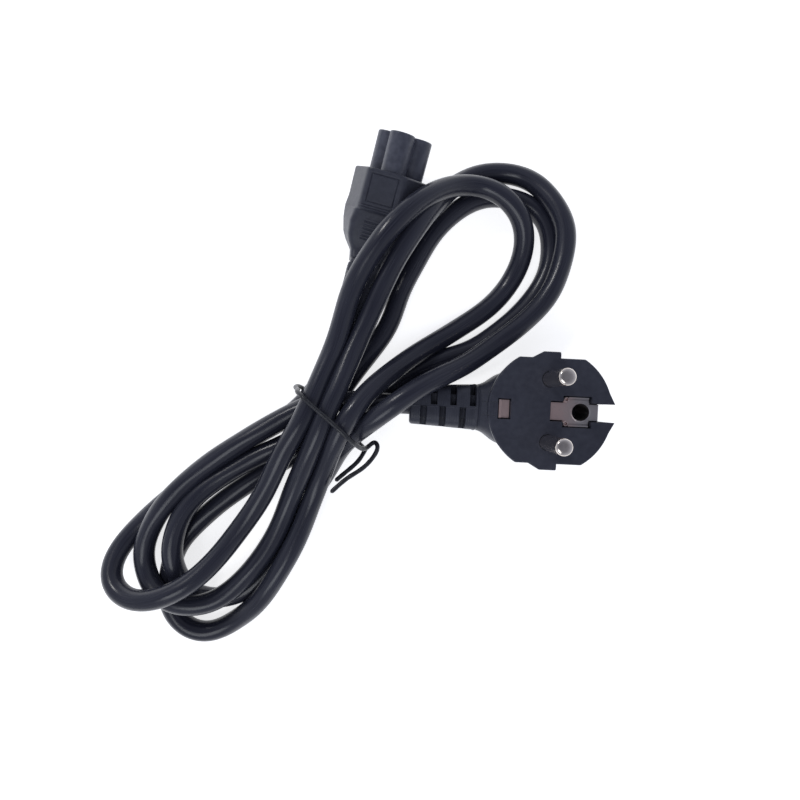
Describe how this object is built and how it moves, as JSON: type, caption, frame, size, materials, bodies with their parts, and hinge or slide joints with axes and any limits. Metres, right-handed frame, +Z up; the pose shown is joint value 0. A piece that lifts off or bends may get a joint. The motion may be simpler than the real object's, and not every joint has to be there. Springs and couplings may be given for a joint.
{
  "type": "cloverleaf power cord",
  "caption": "Black mains power cord, folded and tied: an angled earthed two-pin plug, a round cord and a three-pole cloverleaf appliance connector.",
  "frame": {"origin": "on the plug's flat back, where it lies on the floor, below the midpoint between the two pins", "axes": "+Z up along the pins, +Y from the lower pin to the upper pin, -X the way the cord leaves the plug"},
  "size_m": [0.1571, 0.1677, 0.042],
  "materials": {
    "plug_pvc": "satin moulded black PVC",
    "insert_plastic": "hard black moulding",
    "cord_pvc": "satin black cord jacket",
    "pin_nickel": "bright nickel plate",
    "contact_metal": "nickel-plated brass, slightly warm",
    "tie_coating": "plastic-coated wire"
  },
  "bodies": {
    "root": {"plug_body": "plug_pvc", "plug_pin_upper": "pin_nickel", "plug_pin_lower": "pin_nickel", "earth_contact": "contact_metal", "earth_clip": "contact_metal", "connector_body": "plug_pvc", "connector_nose": "insert_plastic", "contact_line": "contact_metal", "contact_neutral": "contact_metal", "contact_earth": "contact_metal", "cord": "cord_pvc", "twist_tie": "tie_coating"}
  },
  "joints": []
}
